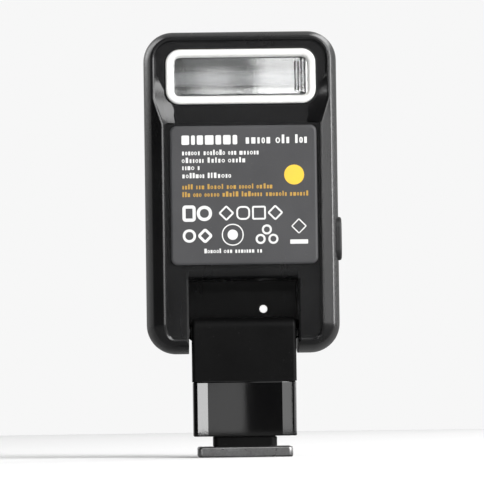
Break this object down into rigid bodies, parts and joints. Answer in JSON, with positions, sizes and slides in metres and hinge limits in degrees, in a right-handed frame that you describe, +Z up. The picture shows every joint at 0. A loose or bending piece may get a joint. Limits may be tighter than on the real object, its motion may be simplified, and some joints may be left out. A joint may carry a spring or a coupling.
{
  "type": "speedlight flash",
  "caption": "Compact speedlight flash for a camera's accessory shoe: a flat head with a wide window and a label plate, hinged on a short arm so that it folds forward.",
  "frame": {"origin": "centre of the shoe foot's flat underside", "axes": "+X to the right seen from the window's side, -Y the way the flash fires, +Z up the arm and head"},
  "size_m": [0.0387, 0.0235, 0.0841],
  "materials": {
    "black_plastic": "fine-grained matte black moulding",
    "gloss_black": "polished black moulding",
    "soft_black": "plain dark matte moulding",
    "label_grey": null,
    "frame_silver": "pale silvery translucent frame",
    "clear_lens": "clear, with fine prisms on the window",
    "mirror_metal": "bright rolled reflector sheet",
    "steel": "satin steel",
    "gold": "bright plated brass",
    "dial_metal": "black anodised, turned",
    "board_green": "green board laminate",
    "silicone": "pale silicone",
    "cell_silver": "matt foil pouch",
    "sleeve_blue": "dark shrink sleeve",
    "winding": "amber winding tape",
    "white_lens": "milky light pipe"
  },
  "bodies": {
    "foot": {"shoe_plate": "steel", "shoe_riser": "black_plastic", "gloss_sleeve": "gloss_black", "foot_screw_1": "steel", "foot_screw_2": "steel", "foot_screw_3": "steel", "foot_screw_4": "steel", "contact_block": "soft_black", "contact_board": "board_green", "arm_front_cover": "black_plastic", "arm_back_cover": "black_plastic", "arm_core": "steel", "hinge_bush_left": "gold", "hinge_bush_right": "gold", "friction_clip": "steel", "arm_cable": "soft_black"},
    "head": {"front_cover": "black_plastic", "back_cover": "black_plastic", "window_frame": "frame_silver", "fresnel_lens": "clear_lens", "reflector": "mirror_metal", "xenon_tube": "clear_lens", "tube_electrode_left": "steel", "tube_electrode_right": "steel", "tube_boot_left": "silicone", "tube_boot_right": "silicone", "trigger_coil": "winding", "main_capacitor": "sleeve_blue", "battery": "cell_silver", "main_board": "board_green", "charging_transformer": "winding", "dial_encoder": "soft_black", "mode_switch": "soft_black", "test_switch": "soft_black", "side_switch": "soft_black", "usb_shell": "steel", "usb_tongue": "soft_black", "label_plate": "label_grey", "indicator_lens": "white_lens", "status_lens": "white_lens", "cover_screw_1": "steel", "cover_screw_2": "steel", "cover_screw_3": "steel", "cover_screw_4": "steel", "hinge_pin_left": "steel", "hinge_pin_right": "steel", "head_cable": "soft_black"},
    "power_dial": {"power_dial": "dial_metal", "dial_cap": "dial_metal", "encoder_shaft": "steel"},
    "mode_button": {"mode_button": "soft_black"},
    "test_button": {"test_button": "soft_black"},
    "side_button": {"side_button": "soft_black"},
    "hot_contact": {"hot_contact": "gold"},
    "signal_contact_1": {"signal_contact_1": "gold"},
    "signal_contact_2": {"signal_contact_2": "gold"},
    "signal_contact_3": {"signal_contact_3": "gold"},
    "signal_contact_4": {"signal_contact_4": "gold"}
  },
  "joints": [
    {"name": "head_fold", "type": "hinge", "parent": "foot", "child": "head", "pos_m": [0, 0, 0.0248], "axis": [1, 0, 0], "range_deg": [0, 90]},
    {"name": "dial_turn", "type": "hinge", "parent": "head", "child": "power_dial", "pos_m": [0, 0.01, 0.0636], "axis": [0, 1, 0], "range_deg": [-105, 105]},
    {"name": "mode_press", "type": "slide", "parent": "head", "child": "mode_button", "axis": [0, -1, 0], "range_m": [0, 0.0005], "stiffness_N_per_m": 800},
    {"name": "test_press", "type": "slide", "parent": "head", "child": "test_button", "axis": [0, -1, 0], "range_m": [0, 0.0005], "stiffness_N_per_m": 800},
    {"name": "side_press", "type": "slide", "parent": "head", "child": "side_button", "axis": [-1, 0, 0], "range_m": [0, 0.0005], "stiffness_N_per_m": 800},
    {"name": "hot_contact_press", "type": "slide", "parent": "foot", "child": "hot_contact", "axis": [0, 0, 1], "range_m": [0, 0.0005], "stiffness_N_per_m": 300},
    {"name": "signal_contact_1_press", "type": "slide", "parent": "foot", "child": "signal_contact_1", "axis": [0, 0, 1], "range_m": [0, 0.0005], "stiffness_N_per_m": 300},
    {"name": "signal_contact_2_press", "type": "slide", "parent": "foot", "child": "signal_contact_2", "axis": [0, 0, 1], "range_m": [0, 0.0005], "stiffness_N_per_m": 300},
    {"name": "signal_contact_3_press", "type": "slide", "parent": "foot", "child": "signal_contact_3", "axis": [0, 0, 1], "range_m": [0, 0.0005], "stiffness_N_per_m": 300},
    {"name": "signal_contact_4_press", "type": "slide", "parent": "foot", "child": "signal_contact_4", "axis": [0, 0, 1], "range_m": [0, 0.0005], "stiffness_N_per_m": 300}
  ]
}
